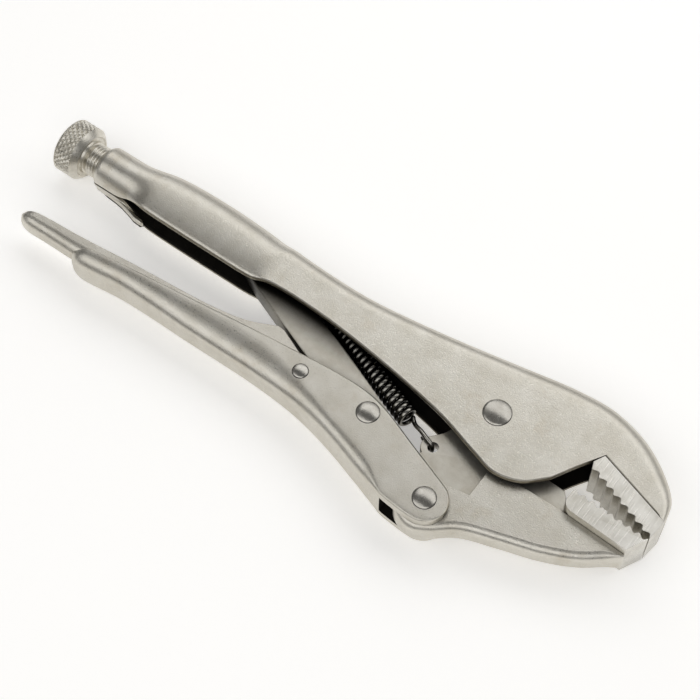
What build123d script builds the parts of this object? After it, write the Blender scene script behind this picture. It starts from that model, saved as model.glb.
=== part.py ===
from build123d import *
from math import asin, atan2, cos, hypot, radians, sin
import os

# Locking pliers of the 250 mm class, lying on their side with the jaws closed.
#
# +X runs along the adjusting screw towards the nose, +Y from the lower handle to
# the upper handle, and +Z up through the rivets. Plan coordinates in this file are
# measured from the main rivet, in the middle plane of the tool.

# ---- driving dimensions, millimetres ----
KNOB_RADIUS = 10.1
MAIN_X = 61.25          # main rivet in the part's own frame
MAIN_Y = 11.6
SHEET = 2.4             # pressed sheet of the handles and of the jaw shell

HANDLE_WIDTH = 16.2     # over the upper handle
HANDLE_INNER = 11.2
HANDLE_FOLD = 4.5       # outside radius along its back
LOWER_WIDTH = 15.8      # over the lower handle
LOWER_INNER = 11.0
LOWER_FOLD = 4.5
SHELL_WIDTH = 10.6      # over the folded shell of the lower jaw
CORE_WIDTH = SHELL_WIDTH - 2 * SHEET
BLOCK_WIDTH = HANDLE_WIDTH
LINK_WIDTH = 8.4
LEVER_WIDTH = 10.5
LEVER_SHEET = 2.0
LEVER_FOLD = 1.2

RUNNING = 0.05          # radial clearance of a pin that turns

SCREW_Y = 4.1           # screw axis above the main rivet
SHANK_RADIUS = 5.4
TUBE_RADIUS = 8.05
TUBE_START = -168.6
TUBE_END = -148.0
KNOB_START = -186.0
KNURL_END = -178.6
KNOB_FACE = -176.6
NECK_END = -174.4
SPIGOT_RADIUS = 4.0
SPIGOT_END = -183.0
TIP_CHAMFER = 1.5
KNOB_CHAMFER = 1.2
FACE_CHAMFER = 1.9
NECK_RADIUS = 6.2

# pivots in plan
JAW_PIVOT = (-1.7, -38.5)
LINK_PIVOT = (-33.7, -24.4)
LEVER_PIVOT = (-60.4, -25.1)
LINK_TIP = (-106.1, SCREW_Y)
LINK_TIP_RADIUS = 4.0
TIP_CLEARANCE = 3.4     # the link's free end keeps this from the screw
SPRING_HOLE = (-11.1, -19.8)
SPRING_HOLE_RADIUS = 1.9
SPRING_TAB = (-77.0, 5.2)
SPRING_RADIUS = 3.7
WIRE_RADIUS = 0.55
TAB_THICKNESS = 1.6
TAB_HALF_WIDTH = 2.6
TAB_ROOT_Y = 11.6       # where the tab leaves the handle's back

MAIN_SHANK = 3.2
MAIN_HEAD = 4.7
JAW_SHANK = 2.7
JAW_HEAD = 3.85
LEVER_SHANK = 1.8
LEVER_HEAD = 2.65
RIVET_RIM = 0.35
RIVET_DOME = 0.65

TOOTH_COUNT = 8
TOOTH_DEPTH = 1.1
GULLET_SHARE = 0.62     # place of the gullet between two crests

PLAN = Plane(origin=(MAIN_X, MAIN_Y, KNOB_RADIUS))
SCREW_PLANE = Plane(
    origin=(MAIN_X, MAIN_Y + SCREW_Y, KNOB_RADIUS), x_dir=(1, 0, 0), z_dir=(0, 0, 1)
)


def longest_edges_at_faces(part):
    """The longest edge of the top face and of the bottom face."""
    levels = part.edges().group_by(Axis.Z)
    return [levels[0].sort_by(SortBy.LENGTH)[-1], levels[-1].sort_by(SortBy.LENGTH)[-1]]


def teeth(start, end, side):
    """Points of a row of saw teeth from start to end, cut to one side of the line."""
    run_x = end[0] - start[0]
    run_y = end[1] - start[1]
    length = hypot(run_x, run_y)
    normal = (-run_y / length * side, run_x / length * side)
    points = []
    for tooth in range(TOOTH_COUNT):
        crest = tooth / TOOTH_COUNT
        root = (tooth + GULLET_SHARE) / TOOTH_COUNT
        points.append((start[0] + run_x * crest, start[1] + run_y * crest))
        points.append(
            (
                start[0] + run_x * root + normal[0] * TOOTH_DEPTH,
                start[1] + run_y * root + normal[1] * TOOTH_DEPTH,
            )
        )
    points.append(end)
    return points


def make_rivet(centre, shank, head, face):
    """A rivet through the whole stack, with a low dome on each end."""
    rim = face + RIVET_RIM
    top = rim + RIVET_DOME
    # the dome is part of a ball whose centre lies on the rivet's axis
    ball = (head**2 + RIVET_DOME**2) / (2 * RIVET_DOME)
    half = asin(head / ball) / 2
    shoulder = (ball * sin(half), top - ball + ball * cos(half))
    middle = PLAN.from_local_coords((*centre, 0))
    with BuildPart() as rivet:
        with BuildSketch(Plane(origin=middle, x_dir=(1, 0, 0), z_dir=(0, -1, 0))):
            with BuildLine():
                ThreePointArc((0, -top), (shoulder[0], -shoulder[1]), (head, -rim))
                Polyline((head, -rim), (head, -face), (shank, -face))
                Line((shank, -face), (shank, face))
                Polyline((shank, face), (head, face), (head, rim))
                ThreePointArc((head, rim), shoulder, (0, top))
                Line((0, top), (0, -top))
            make_face()
        revolve(axis=Axis(middle, (0, 0, 1)))
    return rivet.part


os.makedirs("parts", exist_ok=True)


# ---- upper handle: U channel, open below, rolled into the screw tube ----
BACK_POINTS = [
    (-152.0, 12.6),
    (-138.5, 15.1),
    (-121.0, 15.6),
    (-104.0, 14.9),
    (-88.0, 13.4),
    (-74.0, 12.8),
    (-59.0, 12.9),
    (-33.0, 16.0),
    (-4.6, 20.9),
    (16.0, 24.5),
    (30.0, 25.1),
    (44.0, 21.4),
    (55.0, 14.5),
    (61.5, 7.0),
    (63.4, -1.3),
]
SEAM_START = (36.2, 7.4)
SEAM_END = (63.4, -1.3)


def inset_points(curve, distance, count):
    """Points at a distance to the right of a curve, in its own plane."""
    points = []
    for step in range(count + 1):
        tangent = curve % (step / count)
        place = curve @ (step / count)
        points.append((place.X + distance * tangent.Y, place.Y - distance * tangent.X))
    return points


BACK = Spline(*BACK_POINTS)
INNER_BACK = inset_points(BACK, SHEET, 14)

with BuildPart() as upper_handle:
    # side view: back, seam with the fixed jaw, throat, belly and grip
    with BuildSketch(PLAN):
        with BuildLine():
            Spline(*BACK_POINTS)
            Polyline(SEAM_END, SEAM_START, (30.8, -1.4), (26.4, -9.4))
            Spline(
                (26.4, -9.4),
                (19.3, -16.0),
                (10.5, -18.3),
                (2.0, -16.2),
                (-14.8, -11.2),
                (-46.9, -5.9),
                (-68.0, -3.9),
                (-84.0, -3.6),
                (-101.0, -5.6),
                tangents=[(-0.5, -0.85), (-1.0, 0.0)],
            )
            Polyline((-101.0, -5.6), (-148.0, -5.5), (-152.0, -3.0), BACK_POINTS[0])
        make_face()
    extrude(amount=HANDLE_WIDTH / 2, both=True)
    fillet(longest_edges_at_faces(upper_handle), HANDLE_FOLD)
    mouth = PLAN.from_local_coords((TUBE_START, SCREW_Y, 0))
    with BuildSketch(Plane(origin=mouth, z_dir=(1, 0, 0))):
        Circle(TUBE_RADIUS)
    extrude(amount=TUBE_END - TUBE_START - 3)
    # the channel, open along the whole belly
    with BuildSketch(PLAN):
        with BuildLine():
            Spline(*INNER_BACK[1:])
            Polyline(
                INNER_BACK[-1],
                (INNER_BACK[-1][0], -30),
                (TUBE_END, -30),
                (TUBE_END, INNER_BACK[1][1]),
                INNER_BACK[1],
            )
        make_face()
    extrude(amount=HANDLE_INNER / 2, both=True, mode=Mode.SUBTRACT)
    with BuildSketch(Plane(origin=mouth, z_dir=(1, 0, 0))):
        Circle(SHANK_RADIUS + RUNNING)
    extrude(amount=TUBE_END - TUBE_START + 3, mode=Mode.SUBTRACT)
    with BuildSketch(PLAN):
        Circle(MAIN_SHANK)
    extrude(amount=HANDLE_WIDTH, both=True, mode=Mode.SUBTRACT)
    # lanced tab that holds the rear end of the spring
    with BuildSketch(PLAN):
        with Locations((SPRING_TAB[0], (SPRING_TAB[1] + TAB_ROOT_Y) / 2)):
            Rectangle(TAB_THICKNESS, TAB_ROOT_Y - SPRING_TAB[1])
    extrude(amount=TAB_HALF_WIDTH, both=True)

upper_handle.part.label = "upper_handle"
export_step(upper_handle.part, "parts/upper_handle.step")


# ---- fixed jaw: toothed block below the seam, tang inside the channel ----
UPPER_TEETH = teeth((35.2, 1.0), (62.4, -8.8), 1)

with BuildPart() as upper_jaw:
    with BuildSketch(PLAN):
        with BuildLine():
            Polyline(*UPPER_TEETH, (62.9, -5.0), SEAM_END, SEAM_START, (34.1, 3.6), (35.2, 1.0))
        make_face()
    extrude(amount=BLOCK_WIDTH / 2, both=True)
    with BuildSketch(PLAN):
        with BuildLine():
            Polyline(
                (37.5, 6.0),
                (36.5, 13.0),
                (44.0, 15.5),
                (52.0, 11.6),
                (58.0, 5.0),
                (59.8, -1.0),
                (37.5, 6.0),
            )
        make_face()
    extrude(amount=HANDLE_INNER / 2, both=True)

upper_jaw.part.label = "upper_jaw"
export_step(upper_jaw.part, "parts/upper_jaw.step")


# ---- lower jaw: toothed block on a core plate with the spring tail ----
LOWER_TEETH = teeth((34.9, -8.1), (62.2, -9.2), -1)
BLOCK_FLOOR_START = (36.2, -15.3)
BLOCK_FLOOR_END = (58.5, -16.3)
CORE_BOSS = 6.8
# underside of the core plate, which lies in the fold of the shell
KEEL_POINTS = [
    (-1.7, -45.3),
    (4.0, -42.4),
    (12.0, -36.9),
    (24.7, -32.5),
    (36.0, -28.4),
    (47.0, -23.2),
    (56.2, -17.4),
]

with BuildPart() as lower_jaw:
    with BuildSketch(PLAN):
        with BuildLine():
            Polyline(*LOWER_TEETH, BLOCK_FLOOR_END, BLOCK_FLOOR_START)
            Polyline(BLOCK_FLOOR_START, (34.4, -13.4), (34.4, -9.6), LOWER_TEETH[0])
        make_face()
    extrude(amount=BLOCK_WIDTH / 2, both=True)
    with BuildSketch(PLAN):
        Circle(8.8)
        with Locations(JAW_PIVOT):
            Circle(CORE_BOSS)
        with BuildLine():
            Polyline(
                (-11.2, -13.4),
                (-14.0, -16.8),
                (-14.8, -20.0),
                (-14.5, -24.4),
                (-8.0, -36.0),
                *KEEL_POINTS,
                (56.2, -14.0),
                (36.0, -13.5),
                (31.6, -7.8),
                (20.0, -7.4),
                (8.6, -2.0),
                (-8.6, -2.0),
                (-8.8, -8.0),
                (-11.2, -13.4),
            )
        make_face()
    extrude(amount=CORE_WIDTH / 2, both=True)
    with BuildSketch(PLAN):
        Circle(MAIN_SHANK + RUNNING)
        with Locations(JAW_PIVOT):
            Circle(JAW_SHANK + RUNNING)
        with Locations(SPRING_HOLE):
            Circle(SPRING_HOLE_RADIUS)
    extrude(amount=BLOCK_WIDTH, both=True, mode=Mode.SUBTRACT)

lower_jaw.part.label = "lower_jaw"
export_step(lower_jaw.part, "parts/lower_jaw.step")


# ---- shell of the lower jaw: sheet folded up around the core from below ----
SHELL_ROUND = 9.7

with BuildPart() as lower_jaw_shell:
    with BuildSketch(PLAN):
        with BuildLine():
            Polyline((8.4, -28.0), (8.4, -9.0), (-6.0, -6.6))
            ThreePointArc((-6.0, -6.6), (-4.45, 7.7), (8.9, 0.5))
            Polyline((8.9, 0.5), (12.0, -9.0), (19.5, -15.5), BLOCK_FLOOR_START, BLOCK_FLOOR_END)
            Line(BLOCK_FLOOR_END, (58.9, -17.0))
            Spline(
                (58.9, -17.0),
                (48.4, -25.6),
                (37.0, -31.2),
                (24.7, -35.2),
                (12.0, -39.4),
                (4.0, -45.6),
                (-1.7, JAW_PIVOT[1] - SHELL_ROUND),
                tangents=[(-0.7, -0.72), (-1.0, 0.0)],
            )
            ThreePointArc(
                (-1.7, JAW_PIVOT[1] - SHELL_ROUND),
                (-1.7 - SHELL_ROUND * cos(radians(25)), JAW_PIVOT[1] - SHELL_ROUND * sin(radians(25))),
                (-1.7 - SHELL_ROUND * cos(radians(25)), JAW_PIVOT[1] + SHELL_ROUND * sin(radians(25))),
            )
            Polyline(
                (-1.7 - SHELL_ROUND * cos(radians(25)), JAW_PIVOT[1] + SHELL_ROUND * sin(radians(25))),
                (-4.0, -29.8),
                (8.4, -28.0),
            )
        make_face()
    extrude(amount=SHELL_WIDTH / 2, both=True)
    with BuildSketch(PLAN):
        with BuildLine():
            Polyline(
                (-20.0, 20.0),
                (-20.0, -36.0),
                (-6.5, -42.5),
                *KEEL_POINTS,
                (70.0, -4.0),
                (70.0, 20.0),
                (-20.0, 20.0),
            )
        make_face()
        with Locations(JAW_PIVOT):
            Circle(CORE_BOSS)
    extrude(amount=CORE_WIDTH / 2, both=True, mode=Mode.SUBTRACT)
    with BuildSketch(PLAN):
        Circle(MAIN_SHANK + RUNNING)
        with Locations(JAW_PIVOT):
            Circle(JAW_SHANK + RUNNING)
    extrude(amount=SHELL_WIDTH, both=True, mode=Mode.SUBTRACT)

lower_jaw_shell.part.label = "lower_jaw_shell"
export_step(lower_jaw_shell.part, "parts/lower_jaw_shell.step")


# ---- lower handle: U channel, open above, around the jaw boss ----
BOSS = 8.0
TAIL_X = -152.6

with BuildSketch(PLAN) as lower_side:
    with BuildLine():
        Spline(
            (TAIL_X, -31.0),
            (-148.6, -29.4),
            (-141.0, -28.2),
            (-110.0, -24.2),
            (-72.5, -20.1),
            (-44.0, -17.7),
            (-32.9, -18.7),
            (-13.2, -25.8),
            (JAW_PIVOT[0] + BOSS * cos(radians(75)), JAW_PIVOT[1] + BOSS * sin(radians(75))),
        )
        ThreePointArc(
            (JAW_PIVOT[0] + BOSS * cos(radians(75)), JAW_PIVOT[1] + BOSS * sin(radians(75))),
            (JAW_PIVOT[0] + BOSS, JAW_PIVOT[1]),
            (JAW_PIVOT[0], JAW_PIVOT[1] - BOSS),
        )
        Line((JAW_PIVOT[0], JAW_PIVOT[1] - BOSS), (-12.0, -46.6))
        Spline(
            (-12.0, -46.6),
            (-24.0, -43.0),
            (-39.7, -38.0),
            (-55.0, -34.6),
            (-73.0, -33.3),
            (-104.0, -33.5),
            (-130.0, -33.8),
            (-143.0, -35.2),
            (TAIL_X, -35.0),
        )
        Line((TAIL_X, -35.0), (TAIL_X, -31.0))
    make_face()

with BuildPart() as lower_handle:
    add(extrude(lower_side.sketch, amount=LOWER_WIDTH / 2, both=True))
    levels = lower_handle.edges().group_by(Axis.Z)
    web_edges = [
        level.filter_by(lambda edge: edge.length > 60).sort_by(Axis.Y)[0]
        for level in (levels[0], levels[-1])
    ]
    fillet(web_edges, LOWER_FOLD)
    # the channel, open above, past the tail and around the jaw boss
    with BuildSketch(PLAN):
        with BuildLine():
            Polyline(
                (-160.0, -10.0),
                (-160.0, -32.8),
                (-141.0, -32.8),
                (-128.0, -31.2),
                (-73.0, -30.9),
                (-55.0, -32.1),
                (-39.7, -35.4),
                (-24.0, -40.4),
                (-12.0, -44.0),
                (-11.6, -52.0),
                (12.0, -52.0),
                (12.0, -10.0),
                (-160.0, -10.0),
            )
        make_face()
    extrude(amount=LOWER_INNER / 2, both=True, mode=Mode.SUBTRACT)
    with BuildSketch(PLAN):
        with Locations(JAW_PIVOT, LINK_PIVOT):
            Circle(JAW_SHANK)
        with Locations(LEVER_PIVOT):
            Circle(LEVER_SHANK)
    extrude(amount=LOWER_WIDTH, both=True, mode=Mode.SUBTRACT)

lower_handle.part.label = "lower_handle"
export_step(lower_handle.part, "parts/lower_handle.step")


# ---- toggle link: flat bar, its free end rounded against the screw ----
LINK_ANGLE = atan2(LINK_TIP[1] - LINK_PIVOT[1], LINK_TIP[0] - LINK_PIVOT[0])
LINK_LENGTH = hypot(LINK_TIP[0] - LINK_PIVOT[0], LINK_TIP[1] - LINK_PIVOT[1])
LINK_PLANE = Plane(
    origin=PLAN.from_local_coords((*LINK_PIVOT, 0)),
    x_dir=(cos(LINK_ANGLE), sin(LINK_ANGLE), 0),
    z_dir=(0, 0, 1),
)

with BuildPart() as toggle_link:
    with BuildSketch(LINK_PLANE):
        Circle(7.0)
        with Locations((LINK_LENGTH, 0)):
            Circle(LINK_TIP_RADIUS)
        with BuildLine():
            Polyline(
                (0, 5.0),
                (20.0, 4.9),
                (62.0, 4.9),
                (LINK_LENGTH, LINK_TIP_RADIUS),
                (LINK_LENGTH, -LINK_TIP_RADIUS),
                (66.0, -4.4),
                (40.0, -6.9),
                (30.0, -7.4),
                (0, -7.0),
                (0, 5.0),
            )
        make_face()
        with Locations((0, 0)):
            Circle(JAW_SHANK + RUNNING, mode=Mode.SUBTRACT)
    extrude(amount=LINK_WIDTH / 2, both=True)

toggle_link.part.label = "toggle_link"
export_step(toggle_link.part, "parts/toggle_link.step")


# ---- release lever: narrow channel nested in the lower handle ----
with BuildSketch(PLAN) as lever_side:
    with BuildLine():
        Spline(
            (-175.5, -27.4),
            (-154.6, -25.7),
            (-133.7, -23.7),
            (-100.0, -20.8),
            (-88.0, -18.4),
            (-77.8, -13.9),
        )
        Polyline((-77.8, -13.9), (-75.2, -14.1), (-62.4, -19.6), (-57.0, -21.0), (-55.2, -25.1))
        Polyline((-55.2, -25.1), (-57.0, -30.0), (-125.0, -30.3), (-140.0, -31.4), (-150.0, -32.5))
        Line((-150.0, -32.5), (-175.5, -32.5))
        ThreePointArc((-175.5, -32.5), (-178.0, -29.95), (-175.5, -27.4))
    make_face()

with BuildPart() as release_lever:
    add(extrude(lever_side.sketch, amount=LEVER_WIDTH / 2, both=True))
    fillet(release_lever.edges().filter_by(Axis.X).group_by(Axis.Y)[0], LEVER_FOLD)
    with BuildSketch(PLAN):
        with BuildLine():
            Polyline(
                (-174.2, -20.0),
                (-174.2, -30.0),
                (-150.0, -30.0),
                (-125.0, -28.2),
                (-40.0, -28.0),
                (-40.0, -8.0),
                (-174.2, -8.0),
                (-174.2, -20.0),
            )
        make_face()
    extrude(amount=LEVER_WIDTH / 2 - LEVER_SHEET, both=True, mode=Mode.SUBTRACT)
    with BuildSketch(PLAN):
        with Locations(LEVER_PIVOT):
            Circle(LEVER_SHANK + RUNNING)
    extrude(amount=LEVER_WIDTH, both=True, mode=Mode.SUBTRACT)

release_lever.part.label = "release_lever"
export_step(release_lever.part, "parts/release_lever.step")


# ---- adjusting screw and its knurled knob, turned about the screw axis ----
SHANK_TIP = LINK_TIP[0] - LINK_TIP_RADIUS - TIP_CLEARANCE
SCREW_AXIS = Axis(PLAN.from_local_coords((0, SCREW_Y, 0)), (1, 0, 0))

with BuildPart() as adjusting_screw:
    with BuildSketch(SCREW_PLANE):
        with BuildLine():
            Polyline(
                (SPIGOT_END, 0),
                (SPIGOT_END, SPIGOT_RADIUS),
                (NECK_END, SPIGOT_RADIUS),
                (NECK_END, SHANK_RADIUS),
                (SHANK_TIP - TIP_CHAMFER, SHANK_RADIUS),
                (SHANK_TIP, SHANK_RADIUS - TIP_CHAMFER),
                (SHANK_TIP, 0),
                (SPIGOT_END, 0),
            )
        make_face()
    revolve(axis=SCREW_AXIS)

adjusting_screw.part.label = "adjusting_screw"
export_step(adjusting_screw.part, "parts/adjusting_screw.step")

with BuildPart() as adjusting_knob:
    with BuildSketch(SCREW_PLANE):
        with BuildLine():
            Polyline(
                (KNOB_START, 0),
                (KNOB_START, KNOB_RADIUS - KNOB_CHAMFER),
                (KNOB_START + KNOB_CHAMFER, KNOB_RADIUS),
                (KNURL_END, KNOB_RADIUS),
                (KNOB_FACE, KNOB_RADIUS - FACE_CHAMFER),
                (KNOB_FACE, NECK_RADIUS),
                (NECK_END - RUNNING, NECK_RADIUS),
                (NECK_END - RUNNING, SPIGOT_RADIUS + RUNNING),
                (SPIGOT_END - RUNNING, SPIGOT_RADIUS + RUNNING),
                (SPIGOT_END - RUNNING, 0),
                (KNOB_START, 0),
            )
        make_face()
    revolve(axis=SCREW_AXIS)

adjusting_knob.part.label = "adjusting_knob"
export_step(adjusting_knob.part, "parts/adjusting_knob.step")


# ---- return spring: coiled body and its two end hooks ----
SPRING_RUN_X = SPRING_HOLE[0] - SPRING_TAB[0]
SPRING_RUN_Y = SPRING_HOLE[1] - SPRING_TAB[1]
SPRING_LENGTH = hypot(SPRING_RUN_X, SPRING_RUN_Y)
SPRING_PLANE = Plane(
    origin=PLAN.from_local_coords((*SPRING_TAB, 0)), z_dir=(SPRING_RUN_X, SPRING_RUN_Y, 0)
)
COIL_START = 5.0
HOOK_SHORT = 4.6        # the wire ends at the edge of the jaw's tail
COIL_END = SPRING_LENGTH - 14.0

with BuildPart() as return_spring:
    with BuildSketch(SPRING_PLANE.offset(COIL_START)):
        Circle(SPRING_RADIUS)
        Circle(SPRING_RADIUS - 2 * WIRE_RADIUS, mode=Mode.SUBTRACT)
    extrude(amount=COIL_END - COIL_START)
    for level in (COIL_START, COIL_END - 2 * WIRE_RADIUS):
        with BuildSketch(SPRING_PLANE.offset(level)):
            Circle(SPRING_RADIUS - WIRE_RADIUS)
        extrude(amount=2 * WIRE_RADIUS)
    with BuildSketch(SPRING_PLANE.offset(1.2)):
        Circle(WIRE_RADIUS)
    extrude(amount=COIL_START - 1.2)
    with BuildSketch(SPRING_PLANE.offset(COIL_END)):
        Circle(WIRE_RADIUS)
    extrude(amount=SPRING_LENGTH - COIL_END - HOOK_SHORT)

return_spring.part.label = "return_spring"
export_step(return_spring.part, "parts/return_spring.step")


# ---- rivets ----
RIVETS = {
    "main_rivet": ((0.0, 0.0), MAIN_SHANK, MAIN_HEAD, HANDLE_WIDTH / 2),
    "jaw_rivet": (JAW_PIVOT, JAW_SHANK, JAW_HEAD, LOWER_WIDTH / 2),
    "link_rivet": (LINK_PIVOT, JAW_SHANK, JAW_HEAD, LOWER_WIDTH / 2),
    "lever_rivet": (LEVER_PIVOT, LEVER_SHANK, LEVER_HEAD, LOWER_WIDTH / 2),
}

for rivet_name, (centre, shank, head_radius, face) in RIVETS.items():
    rivet_part = make_rivet(centre, shank, head_radius, face)
    rivet_part.label = rivet_name
    export_step(rivet_part, f"parts/{rivet_name}.step")
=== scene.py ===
"""Looks of a pair of locking pliers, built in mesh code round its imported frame.

Plan coordinates are millimetres from the main rivet in the middle plane of the
tool: x runs along the screw towards the nose, y from the lower handle to the
upper handle, and z up along the rivets.
"""

import logging
import math
from collections.abc import Callable, Iterable, Sequence
from dataclasses import dataclass, field, replace
from enum import Enum
from typing import Any

import bmesh
import bpy
from mathutils import Matrix, Vector


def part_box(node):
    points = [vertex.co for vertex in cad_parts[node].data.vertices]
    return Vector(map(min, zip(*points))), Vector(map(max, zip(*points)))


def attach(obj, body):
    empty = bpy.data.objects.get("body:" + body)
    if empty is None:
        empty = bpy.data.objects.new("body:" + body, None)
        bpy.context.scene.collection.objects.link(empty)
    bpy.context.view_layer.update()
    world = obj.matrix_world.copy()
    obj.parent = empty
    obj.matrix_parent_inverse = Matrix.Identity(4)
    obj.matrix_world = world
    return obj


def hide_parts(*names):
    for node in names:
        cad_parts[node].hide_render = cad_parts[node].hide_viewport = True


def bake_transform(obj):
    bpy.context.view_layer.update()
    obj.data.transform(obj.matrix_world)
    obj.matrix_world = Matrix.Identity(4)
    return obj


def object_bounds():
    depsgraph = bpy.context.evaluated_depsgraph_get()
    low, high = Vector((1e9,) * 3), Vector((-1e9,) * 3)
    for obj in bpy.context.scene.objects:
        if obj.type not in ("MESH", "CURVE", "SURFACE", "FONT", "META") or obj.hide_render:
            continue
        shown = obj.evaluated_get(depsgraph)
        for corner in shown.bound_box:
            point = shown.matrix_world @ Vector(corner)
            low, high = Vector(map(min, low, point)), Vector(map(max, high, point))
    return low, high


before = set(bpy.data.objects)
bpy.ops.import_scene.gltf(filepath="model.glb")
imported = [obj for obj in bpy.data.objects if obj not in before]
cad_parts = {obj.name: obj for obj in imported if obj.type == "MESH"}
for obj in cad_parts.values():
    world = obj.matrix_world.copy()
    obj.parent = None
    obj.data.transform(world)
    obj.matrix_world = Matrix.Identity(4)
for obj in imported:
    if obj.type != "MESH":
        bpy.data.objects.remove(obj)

LOG = logging.getLogger("pliers")
MM = 0.001
Point = tuple[float, float]

CAD_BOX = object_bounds()
RIVET_LOW, RIVET_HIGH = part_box("main_rivet")
CENTRE = (RIVET_LOW + RIVET_HIGH) / 2

# sizes that several sub-assemblies share, millimetres
SHEET = 2.4
HANDLE_HALF = 8.1
HANDLE_INNER_HALF = 5.6
LOWER_HALF = 7.9
LOWER_INNER_HALF = 4.7
SHELL_HALF = 4.5
CORE_HALF = 2.1
LINK_HALF = 4.2
SCREW_Y = 4.1
THREAD_PITCH = 1.27
JAW_PIVOT: Point = (-1.7, -38.5)
LINK_PIVOT: Point = (-33.7, -24.4)
LEVER_PIVOT: Point = (-60.4, -25.1)
LINK_TIP: Point = (-106.1, SCREW_Y)
SPRING_HOLE: Point = (-11.1, -19.8)
SPRING_TAB: Point = (-77.0, 5.2)
SEAM_START: Point = (36.2, 7.4)
BLOCK_FLOOR_START: Point = (36.2, -15.3)
BLOCK_FLOOR_END: Point = (58.5, -16.3)


class Body(str, Enum):
    """The rigid bodies of the frame that a piece can ride on."""

    UPPER = "upper"
    JAW = "jaw"
    HANDLE = "handle"
    LINK = "link"
    LEVER = "lever"
    SCREW = "screw"
    KNOB = "knob"


def at(x: float, y: float, z: float = 0.0) -> Vector:
    """Plan millimetres to a point of the frame in metres."""
    return CENTRE + Vector((x, y, z)) * MM


def smooth(low: float, high: float, value: float) -> float:
    """Smooth step from 0 at low to 1 at high."""
    t = min(max((value - low) / (high - low), 0.0), 1.0)
    return t * t * (3.0 - 2.0 * t)


def mix(a: float, b: float, t: float) -> float:
    """Straight mix of two numbers."""
    return a + (b - a) * t


class Path:
    """A dense plan line that is read by the share of its length."""

    def __init__(self, pieces: Sequence[Sequence[Point]]) -> None:
        """Make the line from curved pieces that meet at corners.

        Args:
            pieces: Each piece is a list of points. Two points make a straight
                run, and more make a smooth curve through them.
        """
        self.points: list[Vector] = []
        for piece in pieces:
            dense = self._curve([Vector(p) for p in piece])
            self.points += dense if not self.points else dense[1:]
        self.lengths = [0.0]
        for a, b in zip(self.points, self.points[1:]):
            self.lengths.append(self.lengths[-1] + (b - a).length)

    @staticmethod
    def _curve(points: list[Vector], steps: int = 14) -> list[Vector]:
        """Points of a chord-length Catmull-Rom curve through the given points."""
        if len(points) < 3:
            return points
        padded = [points[0] * 2 - points[1], *points, points[-1] * 2 - points[-2]]
        dense: list[Vector] = []
        for before, a, b, after in zip(padded, padded[1:], padded[2:], padded[3:]):
            d0, d1, d2 = ((q - p).length ** 0.5 for p, q in ((before, a), (a, b), (b, after)))
            slope_a = (a - before) / d0 - (b - before) / (d0 + d1) + (b - a) / d1
            slope_b = (b - a) / d1 - (after - a) / (d1 + d2) + (after - b) / d2
            for step in range(steps):
                t = step / steps
                dense.append(
                    a * (2 * t**3 - 3 * t**2 + 1)
                    + slope_a * d1 * (t**3 - 2 * t**2 + t)
                    + b * (3 * t**2 - 2 * t**3)
                    + slope_b * d1 * (t**3 - t**2)
                )
        return [*dense, points[-1]]

    def at(self, share: float) -> Vector:
        """The point at a share of the whole length."""
        goal = share * self.lengths[-1]
        for k in range(1, len(self.points)):
            if self.lengths[k] >= goal:
                span = self.lengths[k] - self.lengths[k - 1]
                part = (goal - self.lengths[k - 1]) / span if span else 0.0
                return self.points[k - 1].lerp(self.points[k], part)
        return self.points[-1]

    def share_near(self, point: Point) -> float:
        """The share of the length at the place nearest to a point."""
        goal = Vector(point)
        best, share = math.inf, 0.0
        for k in range(1, len(self.points)):
            a, b = self.points[k - 1], self.points[k]
            run = b - a
            t = min(max((goal - a).dot(run) / max(run.length_squared, 1e-9), 0.0), 1.0)
            gap = (a + run * t - goal).length
            if gap < best:
                best = gap
                share = mix(self.lengths[k - 1], self.lengths[k], t) / self.lengths[-1]
        return share


def stations(
    back: Path, edge: Path, ties: Sequence[tuple[Point, Point]], gap: float = 1.3
) -> list[tuple[Vector, Vector]]:
    """Pairs of points that join the back of a channel to the edge of its walls.

    Args:
        back: Line of the web.
        edge: Line of the wall's free edge.
        ties: Pairs of places on the two lines that belong together, in order.
        gap: Largest step between pairs, in millimetres.

    Returns:
        The pairs, with one exactly at each tie.
    """
    shares = [(back.share_near(b), edge.share_near(e)) for b, e in ties]
    pairs: list[tuple[Vector, Vector]] = []
    for (b0, e0), (b1, e1) in zip(shares, shares[1:]):
        run = max((b1 - b0) * back.lengths[-1], (e1 - e0) * edge.lengths[-1])
        count = max(1, math.ceil(run / gap))
        for k in range(count):
            t = k / count
            pairs.append((back.at(mix(b0, b1, t)), edge.at(mix(e0, e1, t))))
    pairs.append((back.at(shares[-1][0]), edge.at(shares[-1][1])))
    return pairs


# ---------------------------------------------------------------- mesh tools


def linked(name: str, data: bpy.types.ID) -> bpy.types.Object:
    """A new object in the scene."""
    item = bpy.data.objects.new(name, data)
    bpy.context.scene.collection.objects.link(item)
    return item


def finish_mesh(name: str, bm: bmesh.types.BMesh, sharp: float = 38.0) -> bpy.types.Object:
    """Turn a bmesh into a linked object with clean normals.

    Args:
        name: Name of the new object.
        bm: The mesh, in metres of the frame. It is freed.
        sharp: Edges that turn by more than this many degrees stay sharp.

    Returns:
        The object.
    """
    bmesh.ops.recalc_face_normals(bm, faces=bm.faces)
    mesh = bpy.data.meshes.new(name)
    bm.to_mesh(mesh)
    bm.free()
    mesh.shade_smooth()
    mesh.set_sharp_from_angle(angle=math.radians(sharp))
    return linked(name, mesh)


def apply_modifiers(piece: bpy.types.Object) -> None:
    """Bake a piece's modifiers into its mesh."""
    depsgraph = bpy.context.evaluated_depsgraph_get()
    mesh = bpy.data.meshes.new_from_object(piece.evaluated_get(depsgraph))
    piece.modifiers.clear()
    piece.data = mesh


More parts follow.
